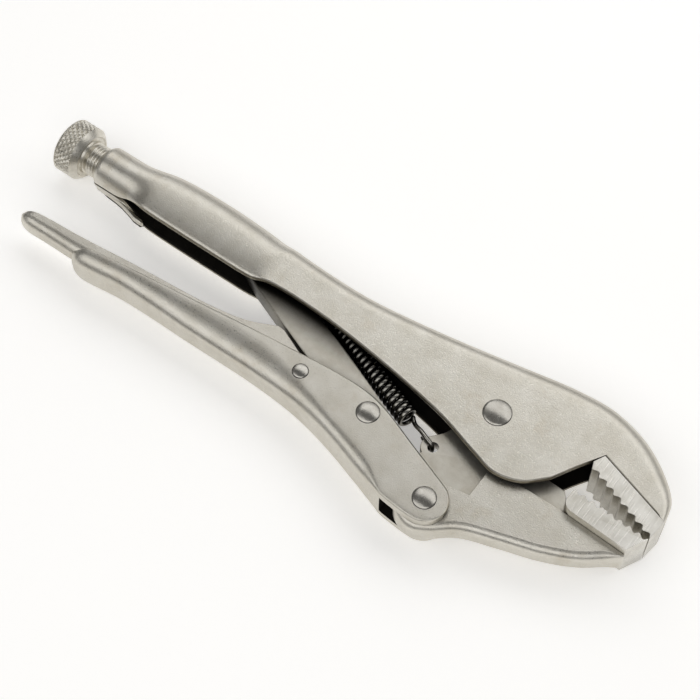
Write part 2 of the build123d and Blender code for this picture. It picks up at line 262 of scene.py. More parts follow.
def cut(piece: bpy.types.Object, cutter: bpy.types.Object) -> None:
    """Cut a closed piece with another, which is removed."""
    modifier = piece.modifiers.new("cut", "BOOLEAN")
    modifier.object = cutter
    modifier.solver = "EXACT"
    bpy.context.view_layer.update()
    apply_modifiers(piece)
    bpy.data.objects.remove(cutter)


def join(pieces: Sequence[bpy.types.Object]) -> bpy.types.Object:
    """Join several objects into the first, each face keeping its material slot."""
    bm = bmesh.new()
    for piece in pieces:
        bm.from_mesh(piece.data)
    bm.to_mesh(pieces[0].data)
    bm.free()
    for piece in pieces[1:]:
        bpy.data.objects.remove(piece)
    return pieces[0]


def bridge(bm: bmesh.types.BMesh, rings: Sequence[Sequence[bmesh.types.BMVert]]) -> None:
    """Close the strips between rings of equal length."""
    for low, high in zip(rings, rings[1:]):
        for k in range(len(low)):
            after = (k + 1) % len(low)
            bm.faces.new((low[k], low[after], high[after], high[k]))


def plate(
    name: str, outline: Sequence[Point], low: float, high: float, bevel: float
) -> bpy.types.Object:
    """A flat plate of any outline with eased edges.

    Args:
        name: Name of the new object.
        outline: Plan points round the plate.
        low: Height of its lower face.
        high: Height of its upper face.
        bevel: Width of the eased edge, or 0 for none.

    Returns:
        The object, its two faces flat and its sides smooth where they curve.
    """
    bm = bmesh.new()
    face = bm.faces.new([bm.verts.new(at(x, y, low)) for x, y in outline])
    grown = bmesh.ops.extrude_face_region(bm, geom=[face])["geom"]
    top = [v for v in grown if isinstance(v, bmesh.types.BMVert)]
    bmesh.ops.translate(bm, verts=top, vec=(0, 0, (high - low) * MM))
    bmesh.ops.recalc_face_normals(bm, faces=bm.faces)
    if bevel:
        crisp = math.radians(25)
        rim = [e for e in bm.edges if len(e.link_faces) == 2 and e.calc_face_angle() > crisp]
        bmesh.ops.bevel(
            bm, geom=rim, offset=bevel * MM, segments=2, profile=0.5, affect="EDGES", clamp_overlap=True
        )
    piece = finish_mesh(name, bm)
    flatten_faces(piece)
    return piece


def flatten_faces(piece: bpy.types.Object) -> None:
    """Shade the level faces of a plate flat, so that its eased rim doesn't tint them."""
    for polygon in piece.data.polygons:
        if abs(polygon.normal.z) > 0.9999:
            polygon.use_smooth = False


def pillow(
    name: str, outline: Sequence[Point], radii: Sequence[float], half: float
) -> bpy.types.Object:
    """A plate, centred on the middle plane, whose rim is rounded point by point.

    Args:
        name: Name of the new object.
        outline: Plan points round the plate, anticlockwise.
        radii: Radius of the rounded rim at each point.
        half: Half of the plate's thickness.

    Returns:
        The object.
    """
    bm = bmesh.new()
    count = len(outline)
    inward: list[Vector] = []
    for k in range(count):
        here = Vector(outline[k])
        before = (here - Vector(outline[k - 1])).normalized()
        after = (Vector(outline[(k + 1) % count]) - here).normalized()
        normal = Vector((-before.y - after.y, before.x + after.x)).normalized()
        inward.append(normal / max(normal.dot(Vector((-before.y, before.x))), 0.5))
    rings: list[list[bmesh.types.BMVert]] = []
    steps = 5
    turns = [k / steps * math.pi / 2 for k in range(steps + 1)]
    for side in (1, -1):
        for turn in reversed(turns) if side > 0 else turns:
            ring = []
            for point, normal, radius in zip(outline, inward, radii):
                spot = Vector(point) + normal * radius * (1 - math.cos(turn))
                height = half - radius + radius * math.sin(turn)
                ring.append(bm.verts.new(at(spot.x, spot.y, side * height)))
            rings.append(ring)
    bridge(bm, rings)
    faces = [bm.faces.new(rings[0]), bm.faces.new(rings[-1])]
    bmesh.ops.triangulate(bm, faces=faces)
    piece = finish_mesh(name, bm, 30.0)
    flatten_faces(piece)
    return piece


def spoon(inset: float, length: float) -> float:
    """Share of the full width inside an end that is rounded like a spoon's tip."""
    return math.sqrt(max(1.0 - min(max(inset / length, 0.0), 1.0) ** 2, 0.0))


def arc(centre: Point, radius: float, degrees: Iterable[float]) -> list[Point]:
    """Plan points round a centre, in the given directions."""
    turns = [math.radians(d) for d in degrees]
    return [(centre[0] + radius * math.cos(a), centre[1] + radius * math.sin(a)) for a in turns]


def lathe(
    name: str, profile: Sequence[Point], place: Callable[[float, float, float], Vector], count: int = 64
) -> bpy.types.Object:
    """A turned piece.

    Args:
        name: Name of the new object.
        profile: (along, radius) points from one end of the axis to the other.
        place: Gives the point for (along, across, up).
        count: Steps round the axis.

    Returns:
        The object.
    """
    bm = bmesh.new()
    rings: list[list[bmesh.types.BMVert]] = []
    turns = [k / count * math.tau for k in range(count)]
    for along, radius in profile:
        around = turns if radius > 0 else turns[:1]
        rings.append(
            [bm.verts.new(place(along, radius * math.cos(a), radius * math.sin(a))) for a in around]
        )
    for low, high in zip(rings, rings[1:]):
        for k in range(count):
            near, far = ((ring[k % len(ring)], ring[(k + 1) % len(ring)]) for ring in (low, high))
            corners = list(dict.fromkeys((near[0], near[1], far[1], far[0])))
            if len(corners) > 2:
                bm.faces.new(corners)
    return finish_mesh(name, bm)


@dataclass
class Section:
    """Cross-section of a pressed channel at one station.

    Depth is measured from the web towards the free edge of the walls. The fold
    is an ellipse, the wall may curl inwards towards its edge, and a bare
    section has its walls only.
    """

    depth: float
    half_width: float
    fold: float
    fold_rise: float
    sheet: float
    wall_sheet: float
    rounding: float
    curl: float = 0.0
    bare: bool = False
    tube: float = 0.0
    tube_radius: float = 7.8
    tube_bore: float = 5.6
    tube_depth: float = 8.0
    LEAST_FOLD = 0.6
    FOLD_LIMIT = 0.9
    RISE_LIMIT = 0.98
    LIP_LIMIT = 0.2
    SEAM_TURN = math.radians(176.5)
    WEB_STEPS = 3
    FOLD_STEPS = 9
    WALL_STEPS = 10
    EDGE_STEPS = 3

    def _half(self, skin: float, wall: float) -> list[Point]:
        """(depth, z) points from the middle of the web to the wall's edge."""
        width = self.half_width - wall
        fold = min(max(self.fold - skin, self.LEAST_FOLD), (self.depth - skin) * self.FOLD_LIMIT)
        rise = min(max(self.fold_rise - wall, self.LEAST_FOLD), width * self.RISE_LIMIT)
        ease = min(self.rounding, self.depth * self.LIP_LIMIT)
        points = [(skin, (width - rise) * k / self.WEB_STEPS) for k in range(self.WEB_STEPS)]
        for k in range(self.FOLD_STEPS + 1):
            turn = k / self.FOLD_STEPS * math.pi / 2
            points.append((skin + fold * (1 - math.cos(turn)), width - rise + rise * math.sin(turn)))
        start = skin + fold
        for k in range(1, self.WALL_STEPS + 1):
            share = k / self.WALL_STEPS
            points.append((mix(start, self.depth - ease, share), width - self.curl * share**2))
        return points

    def _rolled(self, points: Sequence[Point], radius: float) -> list[Point]:
        """Points moved towards the rolled tube, each keeping its share of the length."""
        turns = [share * self.SEAM_TURN for share in self._shares(points)]
        tube = [(self.tube_depth - radius * math.cos(a), radius * math.sin(a)) for a in turns]
        return [(mix(a, c, self.tube), mix(b, d, self.tube)) for (a, b), (c, d) in zip(points, tube)]

    @staticmethod
    def _shares(points: Sequence[Point]) -> list[float]:
        """Share of the length of a line at each of its points."""
        runs = [0.0]
        for a, b in zip(points, points[1:]):
            runs.append(runs[-1] + math.dist(a, b))
        return [run / runs[-1] for run in runs]

    def outline(self) -> tuple[list[Point], int]:
        """The half section from the outside of the web round the edge to its inside.

        Returns:
            The (depth, z) points, and how many of them are on the outside.
        """
        outer = self._half(0.0, 0.0)
        inner = self._half(self.sheet, self.wall_sheet)
        if self.tube > 0:
            outer = self._rolled(outer, self.tube_radius)
            inner = self._rolled(inner, self.tube_bore)
        (out_d, out_z), (in_d, in_z) = outer[-1], inner[-1]
        lip = min(self.rounding, self.depth * self.LIP_LIMIT) * (1 - self.tube)
        edge: list[Point] = []
        for k in range(1, self.EDGE_STEPS * 2):
            share = k / (self.EDGE_STEPS * 2)
            rise = math.sin(math.pi * share) ** 0.5
            edge.append((mix(out_d, in_d, share) + lip * rise, mix(out_z, in_z, share)))
        loop = [*outer, *edge, *reversed(inner)]
        if self.bare:
            loop = [(depth, max(z, self.half_width - self.wall_sheet)) for depth, z in loop]
        return loop, len(outer)


def channel(
    name: str,
    pairs: Sequence[tuple[Vector, Vector]],
    shape: Callable[[Vector, Vector], Section],
    inside_slot: int = 0,
    edge_slot: int = 0,
) -> bpy.types.Object:
    """A pressed sheet channel lofted through its stations.

    Args:
        name: Name of the new object.
        pairs: (web point, edge point) of each station in plan.
        shape: Gives the cross-section for a station.
        inside_slot: Material slot of the inner faces.
        edge_slot: Material slot of the walls' free edge.

    Returns:
        The closed mesh as an object.
    """
    bm = bmesh.new()
    for side in (1, -1):
        rows: list[list[bmesh.types.BMVert]] = []
        bare: list[bool] = []
        outside = 0
        for web, edge in pairs:
            run = (edge - web).normalized()
            section = shape(web, edge)
            half, outside = section.outline()
            rows.append([bm.verts.new(at(*(web + run * depth), side * z)) for depth, z in half])
            bare.append(section.bare)
        for row, following, open_web in zip(rows, rows[1:], bare[1:]):
            if open_web:
                face = bm.faces.new((row[0], following[0], following[-1], row[-1]))
                face.material_index = inside_slot
            for k in range(len(row) - 1):
                face = bm.faces.new((row[k], row[k + 1], following[k + 1], following[k]))
                if k >= outside:
                    face.material_index = edge_slot if k < outside + Section.EDGE_STEPS else inside_slot
        for row in (rows[0], rows[-1]):
            last = len(row) - 1
            for k in range(len(row) // 2):
                corners = list(dict.fromkeys((row[k], row[k + 1], row[last - k - 1], row[last - k])))
                if len(corners) > 2:
                    bm.faces.new(corners)
    bmesh.ops.remove_doubles(bm, verts=bm.verts, dist=0.01 * MM)
    return finish_mesh(name, bm)


def sweep(name: str, line: Sequence[Vector], radius: float, sides: int = 12) -> bpy.types.Object:
    """A round wire along a line of frame points.

    Args:
        name: Name of the new object.
        line: Points of the wire's centre line, in metres.
        radius: Wire radius in millimetres.
        sides: Faces round the wire.

    Returns:
        The wire as a mesh object.
    """
    bm = bmesh.new()
    rings: list[list[bmesh.types.BMVert]] = []
    normal = Vector((0, 0, 1))
    for k, point in enumerate(line):
        tangent = (line[min(k + 1, len(line) - 1)] - line[max(k - 1, 0)]).normalized()
        normal = (normal - tangent * normal.dot(tangent)).normalized()
        binormal = tangent.cross(normal)
        turns = [step / sides * math.tau for step in range(sides)]
        spokes = [normal * math.cos(a) + binormal * math.sin(a) for a in turns]
        rings.append([bm.verts.new(point + spoke * radius * MM) for spoke in spokes])
    bridge(bm, rings)
    bm.faces.new(rings[0])
    bm.faces.new(rings[-1])
    return finish_mesh(name, bm)


# ---------------------------------------------------------------- finishes


def linear(colour: str) -> tuple[float, float, float, float]:
    """An sRGB hex colour as linear RGBA."""
    values = [int(colour[k : k + 2], 16) / 255 for k in (1, 3, 5)]
    r, g, b = (v / 12.92 if v <= 0.04045 else ((v + 0.055) / 1.055) ** 2.4 for v in values)
    return (r, g, b, 1.0)


def add_node(
    tree: bpy.types.NodeTree, kind: str, links: dict[str, Any] | None = None, **settings: Any
) -> bpy.types.Node:
    """Add a shader node.

    Args:
        tree: Node tree that gets it.
        kind: Blender's name of the node.
        links: Input name or number to an output socket, or to a plain value.
        **settings: Properties of the node itself.

    Returns:
        The node.
    """
    node = tree.nodes.new(kind)
    for key, value in settings.items():
        setattr(node, key, value)
    for key, value in (links or {}).items():
        if isinstance(value, bpy.types.NodeSocket):
            tree.links.new(value, node.inputs[key])
        else:
            node.inputs[key].default_value = value
    return node


def layer(
    tree: bpy.types.NodeTree,
    tone: Any,
    colour: str,
    value: bpy.types.NodeSocket,
    span: tuple[float, float],
    amount: float = 1.0,
    curve: str = "LINEAR",
) -> bpy.types.NodeSocket:
    """Lay a colour over a tone, more strongly as a value crosses a span.

    Args:
        tree: Node tree that gets the nodes.
        tone: The colour below, as an output socket or linear RGBA.
        colour: The colour on top, sRGB hex.
        value: The value that decides how much of it shows.
        span: The value at which it starts to show, and at which it is full.
        amount: Share of the colour on top where it is full.
        curve: Interpolation between the two.

    Returns:
        The layered colour.
    """
    share = add_node(
        tree,
        "ShaderNodeMapRange",
        {"Value": value, "From Min": span[0], "From Max": span[1], "To Max": amount},
        interpolation_type=curve,
    ).outputs["Result"]
    return add_node(
        tree, "ShaderNodeMix", {0: share, 6: tone, 7: linear(colour)}, data_type="RGBA"
    ).outputs[2]


# near-black of the painted shadow on the link
PAINTED_SHADOW_DARK = "#191613"
STAIN = "#a08a63"
# worn edges brightened, partly a painted highlight along the rims
WORN_EDGE_HIGHLIGHT = "#f3f1ec"
# noise cells per metre: stains of about 11 mm, and scratches 9 mm long and 0.45 mm wide
STAIN_CELLS = 90.0
SCRATCH_CELLS = (110.0, 2200.0, 110.0)
SCRATCH_LEAN = 0.7
GRAIN_NOISE = {"Scale": 1.0, "Detail": 2.0, "Roughness": 0.6}
MOTTLE_NOISE = {"Detail": 5.0, "Roughness": 0.62}
STAIN_NOISE = {"Detail": 6.0, "Roughness": 0.7}
SCRATCH_NOISE = {"Scale": 1.0, "Detail": 0.0, "Distortion": 0.6}
# values at which a layer of colour starts to show and is full
MOTTLE_SPAN = (0.35, 0.68)
STAIN_SPAN = (0.56, 0.76)
EDGE_SPAN = (0.53, 0.6)
# how far ambient occlusion falls below its start before the painted shade, with some dirt, is full where
# surfaces meet
GRIME_AND_SHADE_FADE = 0.4


@dataclass(frozen=True)
class Metal:
    """A metal finish.

    Colours are sRGB hex, sizes are millimetres, and the shares of dirt with painted shade, of stain and
    of worn edges with their painted highlight run from 0 to 1.
    The painted shadow starts and is full at two plan heights.
    """

    name: str
    colour: str
    shade: str
    roughness: float
    roughness_spread: float
    grain: float
    grain_depth: float
    mottle: float
    grime_and_shade: str = "#3a3128"
    grime_and_shade_reach: float = 2.2
    grime_and_shade_share: float = 0.8
    grime_and_shade_from: float = 0.62
    stretch: float = 1.0
    metallic: float = 1.0
    stain: float = 0.0
    scratch: float = 0.0
    wear_and_highlight: float = 0.25
    specular: float = 0.5
    painted_shadow_heights: tuple[float, float] | None = None
    painted_shadow_share: float = 0.93

    def build(self) -> bpy.types.Material:
        """Make the material.

        Returns:
            The material, with grain in bump and roughness, and its colour in layers.
        """
        material = bpy.data.materials.new(self.name)
        material.use_nodes = True
        tree = material.node_tree
        shader = tree.nodes["Principled BSDF"]
        shader.inputs["Metallic"].default_value = self.metallic
        shader.inputs["Specular IOR Level"].default_value = self.specular
        place = add_node(tree, "ShaderNodeTexCoord").outputs["Object"]
        tree.links.new(self._colour(tree, place), shader.inputs["Base Color"])
        fine = 1.0 / (self.grain * MM)
        grain = add_node(
            tree,
            "ShaderNodeTexNoise",
            {"Vector": self._mapped(tree, place, (fine, fine / self.stretch, fine)), **GRAIN_NOISE},
        ).outputs["Fac"]
        low, high = self.roughness - self.roughness_spread, self.roughness + self.roughness_spread
        rough = add_node(
            tree,
            "ShaderNodeMapRange",
            {"Value": grain, "From Min": 0.3, "From Max": 0.7, "To Min": low, "To Max": high},
        ).outputs["Result"]
        tree.links.new(rough, shader.inputs["Roughness"])
        bump = add_node(
            tree, "ShaderNodeBump", {"Height": grain, "Strength": 1.0, "Distance": self.grain_depth * MM}
        ).outputs["Normal"]
        if self.scratch:
            height = self._scratches(tree, place)
            bump = add_node(
                tree,
                "ShaderNodeBump",
                {"Height": height, "Distance": self.scratch * MM, "Normal": bump},
                invert=True,
            ).outputs["Normal"]
        tree.links.new(bump, shader.inputs["Normal"])
        return material

    def _colour(self, tree: bpy.types.NodeTree, place: bpy.types.NodeSocket) -> bpy.types.NodeSocket:
        """Mottled base, then stains, worn edges with a painted highlight, a painted shadow darker
        towards one plan height, and painted shade mixed with dirt where surfaces meet.

        Args:
            tree: Node tree that gets the nodes.
            place: Object coordinates.

        Returns:
            The colour.
        """
        cells = 1.0 / (self.mottle * MM)
        mottle = add_node(
            tree, "ShaderNodeTexNoise", {"Vector": place, "Scale": cells, **MOTTLE_NOISE}
        ).outputs["Fac"]
        tone = layer(tree, linear(self.colour), self.shade, mottle, MOTTLE_SPAN)
        if self.stain:
            cloud = add_node(
                tree, "ShaderNodeTexNoise", {"Vector": place, "Scale": STAIN_CELLS, **STAIN_NOISE}
            ).outputs["Fac"]
            tone = layer(tree, tone, STAIN, cloud, STAIN_SPAN, self.stain)
        # worn edges, brightened where the surface is pointed; this also paints a highlight along the
        # rims
        edge = add_node(tree, "ShaderNodeNewGeometry").outputs["Pointiness"]
        tone = layer(tree, tone, WORN_EDGE_HIGHLIGHT, edge, EDGE_SPAN, self.wear_and_highlight)
        # painted shadow: darker towards one plan height
        if self.painted_shadow_heights:
            height = add_node(tree, "ShaderNodeSeparateXYZ", {"Vector": place}).outputs["Y"]
            low, high = (CENTRE.y + y * MM for y in self.painted_shadow_heights)
            tone = layer(tree, tone, PAINTED_SHADOW_DARK, height, (low, high), self.painted_shadow_share, "SMOOTHSTEP")
        # painted shade, with some dirt: darker where ambient occlusion finds surfaces close together
        nearness = add_node(
            tree, "ShaderNodeAmbientOcclusion", {"Distance": self.grime_and_shade_reach * MM}, samples=6
        ).outputs["AO"]
        span = (self.grime_and_shade_from, self.grime_and_shade_from - GRIME_AND_SHADE_FADE)
        return layer(tree, tone, self.grime_and_shade, nearness, span, self.grime_and_shade_share)

    @staticmethod
    def _mapped(
        tree: bpy.types.NodeTree, place: bpy.types.NodeSocket, cells: Sequence[float], lean: float = 0.0
    ) -> bpy.types.NodeSocket:
        """Object coordinates turned about the height and scaled to cells per metre."""
        turned = {"Vector": place, "Rotation": (0.0, 0.0, lean), "Scale": cells}
        return add_node(tree, "ShaderNodeMapping", turned).outputs["Vector"]

    def _scratches(self, tree: bpy.types.NodeTree, place: bpy.types.NodeSocket) -> bpy.types.NodeSocket:
        """Height of sparse fine scratches: 1 in a scratch, else 0."""
        lined = self._mapped(tree, place, SCRATCH_CELLS, SCRATCH_LEAN)
        lines = add_node(tree, "ShaderNodeTexNoise", {"Vector": lined, **SCRATCH_NOISE}).outputs["Fac"]
        return add_node(
            tree, "ShaderNodeMapRange", {"Value": lines, "From Min": 0.79, "From Max": 0.82}
        ).outputs["Result"]


# Nickel plate over bead-blasted pressed steel: a warm light grey, with fine sparkle and soft sheen.
SATIN_NICKEL = Metal(
    "satin nickel plate", colour="#d6d2c8", shade="#c9c4b8", roughness=0.35, roughness_spread=0.1,
    grain=0.36, grain_depth=0.06, mottle=9.0, stain=0.3, scratch=0.012,
)
# Ground tool steel: bright, with fine lines left across the jaws by the grinding wheel.
GROUND_STEEL = Metal(
    "ground tool steel", colour="#d6d3cb", shade="#c0bcb2", roughness=0.33, roughness_spread=0.1,
    grain=0.3, grain_depth=0.04, mottle=5.0, stretch=26.0, stain=0.15,
)
# Plated forged steel: the same plate on a smoother, slightly darker core.
FORGED_PLATE = Metal(
    "plated forged steel", colour="#cdc9be", shade="#bcb6a9", roughness=0.4, roughness_spread=0.08,
    grain=0.4, grain_depth=0.03, mottle=6.0, stain=0.2,
)
# The same steel, darkened by a painted shadow towards the end that works inside the handle, and with a
# wide painted shade where surfaces meet.
SHADOWED_BAR = replace(
    FORGED_PLATE, name="forged bar with painted shadow", grime_and_shade=PAINTED_SHADOW_DARK, grime_and_shade_reach=8.0, grime_and_shade_share=0.93,
    grime_and_shade_from=0.84, painted_shadow_heights=(-15.0, -4.5),
)
# Polished rivet steel: soft mirror domes with faint dents from the setting tool.
POLISHED_RIVET = Metal(
    "polished rivet steel", colour="#bfbcb4", shade="#aeaaa2", roughness=0.26, roughness_spread=0.05,
    grain=2.4, grain_depth=0.035, mottle=2.5, grime_and_shade_reach=0.6, grime_and_shade_share=0.95,
)
# Plated screw steel: satin crests, and painted shade darkening the roots of knurl and thread.
SCREW_STEEL = Metal(
    "plated screw steel", colour="#dedad0", shade="#cac5b9", roughness=0.32, roughness_spread=0.07,
    grain=0.4, grain_depth=0.02, mottle=4.0, grime_and_shade_reach=1.0, grime_and_shade_share=0.7,
)
# Hard-drawn spring wire: darker and glossier than the plated parts, with black painted shade between its
# coils.
SPRING_WIRE = Metal(
    "drawn spring wire", colour="#a6a39b", shade="#8f8c85", roughness=0.24, roughness_spread=0.04,
    grain=0.3, grain_depth=0.004, mottle=3.0, grime_and_shade="#15130f", grime_and_shade_reach=5.0, grime_and_shade_share=0.97,
    grime_and_shade_from=0.98,
)
# Sheared edge of the sheet: duller and browner than the blasted faces.
SHEARED_EDGE = Metal(
    "sheared sheet edge", colour="#a59f90", shade="#7f7868", roughness=0.45, roughness_spread=0.08,
    grain=0.5, grain_depth=0.05, mottle=2.0, grime_and_shade_share=0.9,
)
# Near-black and dull: painted shade inside the channels, in the hollow under the tube's lip and round
# the rivets.
SHADE_BLACK = Metal(
    "painted shade black", colour="#1d1b18", shade="#141310", roughness=0.8, roughness_spread=0.08,
    grain=0.3, grain_depth=0.02, mottle=5.0, grime_and_shade="#12110f", metallic=0.0, wear_and_highlight=0.0, specular=0.05,
)


class Workshop:
    """Makes each finish once and dresses pieces with it."""

    def __init__(self) -> None:
        """Start with no material made."""
        self.made: dict[str, bpy.types.Material] = {}

    def material(self, finish: Metal) -> bpy.types.Material:
        """The material of a finish, made at its first use."""
        if finish.name not in self.made:
            self.made[finish.name] = finish.build()
        return self.made[finish.name]

    def dress(
        self,
        piece: bpy.types.Object,
        finishes: Sequence[Metal],
        body: Body,
        nodes: Sequence[str],
    ) -> None:
        """Give a piece its finishes and its place in the frame.

        Args:
            piece: The finished piece.
            finishes: One finish for each material slot.
            body: The body it rides on.
            nodes: Frame nodes that it stands for.
        """
        for finish in finishes:
            piece.data.materials.append(self.material(finish))
        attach(piece, body.value)
        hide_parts(*nodes)
        LOG.info("%s: %d faces", piece.name, len(piece.data.polygons))


# ---------------------------------------------------------------- upper handle


@dataclass
class UpperHandle:
    """Pressed channel with the rolled screw tube, and the jaw fixed in its nose."""

    tube_start: float = -168.6
    tube_radius: float = 8.1
    tube_bore: float = 6.2
    grip_fold: float = 8.6
    grip_rise: float = 7.4
    grip_curl: float = 1.15
    head_fold: float = 5.8
    head_start: float = -97.5
    head_full: float = -89.5
    tube_end: float = -159.0
    tube_gone: float = -143.0
    fold_share: float = 0.45
    mouth_round: float = 0.8
    nose: Point = (63.4, -1.3)
    throat: Point = (26.4, -9.4)
    crown: Sequence[Point] = (
        (-138.5, 15.1), (-121.0, 15.6), (-104.0, 14.9), (-88.0, 13.4), (-74.0, 12.8),
        (-59.0, 12.9), (-33.0, 16.0), (-4.6, 20.9), (16.0, 24.5), (30.0, 25.1), (44.0, 21.4),
        (55.0, 14.5), (61.5, 7.0), (63.4, -1.3),
    )

    def _back(self) -> Path:
        """Line of the web from the tube's mouth over the crown to the nose."""
        top = SCREW_Y + self.tube_radius
        return Path([[(self.tube_start, top), (-158.0, top + 0.1), (-150.0, top + 1.3), *self.crown]])

    def _belly(self) -> Path:
        """Line of the walls' free edge from the tube's seam to the nose."""
        low = SCREW_Y - self.tube_radius
        tube = [(self.tube_start, low), (-158.0, low), (-151.0, low - 0.5)]
        grip = [(-143.0, -5.4), (-128.0, -5.7)]
        head = [
            (-96.5, -5.4), (-91.0, -4.2), (-84.0, -3.6), (-68.0, -3.9), (-46.9, -5.9), (-14.8, -11.2),
            (2.0, -16.2), (10.5, -18.3), (19.3, -16.0),
        ]
        waist, notch = (-101.5, -5.7), (30.8, -1.4)
        return Path(
            [
                [*tube, *grip, waist],
                [waist, *head, self.throat],
                [self.throat, notch],
                [notch, SEAM_START],
                [SEAM_START, (60.9, -0.5)],
            ]
        )

    def _section(self, web: Vector, edge: Vector) -> Section:
        """Cross-section: tube, then round grip, then flat-sided head."""
        head = smooth(self.head_start, self.head_full, web.x)
        depth = (edge - web).length
        mouth = 1.0 - smooth(-0.3, 1.0, web.x - self.tube_start)
        return Section(
            depth=depth,
            half_width=HANDLE_HALF,
            fold=min(mix(self.grip_fold, self.head_fold, head), depth * self.fold_share),
            fold_rise=min(mix(self.grip_rise, self.head_fold, head), depth * self.fold_share),
            curl=mix(self.grip_curl, 0.0, head),
            rounding=0.6,
            sheet=min(SHEET, depth * 0.92),
            wall_sheet=HANDLE_HALF - HANDLE_INNER_HALF,
            tube=1.0 - smooth(self.tube_end, self.tube_gone, web.x),
            tube_radius=self.tube_radius - self.mouth_round * mouth,
            tube_bore=self.tube_bore,
            tube_depth=web.y - SCREW_Y,
        )

    def build(self, shop: Workshop) -> None:
        """Make the channel with its spring tab, and the fixed jaw."""
        ties = (
            ((self.tube_start, 12.2), (self.tube_start, -4.0)),
            ((self.tube_start + 0.8, 12.2), (self.tube_start + 0.8, -4.0)),
            ((-143.0, 14.5), (-143.0, -5.4)),
            ((-101.5, 14.8), (-101.5, -5.7)),
            ((-84.0, 13.2), (-84.0, -3.6)),
            ((-46.9, 14.2), (-46.9, -5.9)),
            ((-6.0, 20.6), (-10.0, -12.8)),
            ((10.5, 23.8), (10.5, -18.3)),
            ((27.0, 25.2), self.throat),
            ((33.0, 25.0), (30.8, -1.4)),
            ((41.0, 22.7), SEAM_START),
            ((55.0, 14.5), (52.0, 2.3)),
            (self.nose, (60.9, -0.5)),
        )
        pairs = stations(self._back(), self._belly(), ties)
        body = channel("upper_handle_shell", pairs, self._section, 1, 2)
        tab = plate("tab", [(-77.8, 4.0), (-76.2, 4.0), (-76.2, 11.0), (-77.8, 11.0)], -2.6, 2.6, 0.3)
        shell = join([body, tab, *self._lap()])
        # the inner faces take the near-black of painted shade
        finishes = (SATIN_NICKEL, SHADE_BLACK, SHEARED_EDGE)
        shop.dress(shell, finishes, Body.UPPER, ["upper_handle"])
        self._jaw(shop)

    def _lap(self) -> list[bpy.types.Object]:
        """The sheet's free edge, which laps past the tube's seam as a low lip, and a dark plate of
        painted shade in the hollow behind it.
        """
        lower = [
            (-168.4, -3.0), (-163.3, -3.3), (-159.0, -3.6), (-155.6, -4.1), (-152.0, -5.0),
            (-148.7, -6.0), (-145.6, -6.2),
        ]
        upper = [(x, y + 1.5) for x, y in reversed(lower)]
        lip = plate("lip", [*lower, (-144.4, -5.6), *upper], -5.6, -3.0, 0.45)
        # a dark plate of painted shade in the hollow under the lip
        dark = [(-168.0, -2.2), *lower[1:], (-143.0, -3.0), (-143.0, 0.5), (-158.0, 1.0)]
        inside = plate("inside", dark, -6.0, -4.8, 0.1)
        for polygon in inside.data.polygons:
            polygon.material_index = 1
        return [lip, inside]

    def _jaw(self, shop: Workshop) -> None:
        """The toothed block below the seam, with its tang in the channel."""
        row = teeth((35.2, 1.0), (62.4, -8.8), 1)
        outline = [*row, (62.9, -5.0), self.nose, SEAM_START, (34.2, 3.6)]
        block = plate("upper_jaw_block", outline, -HANDLE_HALF, HANDLE_HALF, 0.25)
        hidden = [(37.5, 6.0), (36.5, 13.0), (44.0, 15.5), (52.0, 11.6), (58.0, 5.0), (59.8, -1.0)]
        tang = plate("tang", hidden, -HANDLE_INNER_HALF, HANDLE_INNER_HALF, 0.3)
        shop.dress(join([block, tang]), (GROUND_STEEL,), Body.UPPER, ["upper_jaw"])


def teeth(start: Point, end: Point, side: int, count: int = 8, depth: float = 1.1) -> list[Point]:
    """Outline of a row of jaw teeth.

    Args:
        start: First crest.
        end: Last crest.
        side: 1 when the steel lies to the left of the row, else -1.
        count: Number of teeth.
        depth: Depth of the gullets in millimetres.

    Returns:
        Plan points along the row, with each crest and gullet eased.
    """
    run = Vector(end) - Vector(start)
    normal = Vector((-run.y, run.x)).normalized() * side
    profile = ((0.0, 0.0), (0.1, 0.04), (0.46, 0.86), (0.58, 1.0), (0.7, 0.94), (0.92, 0.1))
    points = []
    for tooth in range(count):
        for share, sink in profile:
            spot = Vector(start) + run * ((tooth + share) / count) + normal * (sink * depth)
            points.append((spot.x, spot.y))
    return [*points, end]


# ---------------------------------------------------------------- lower jaw


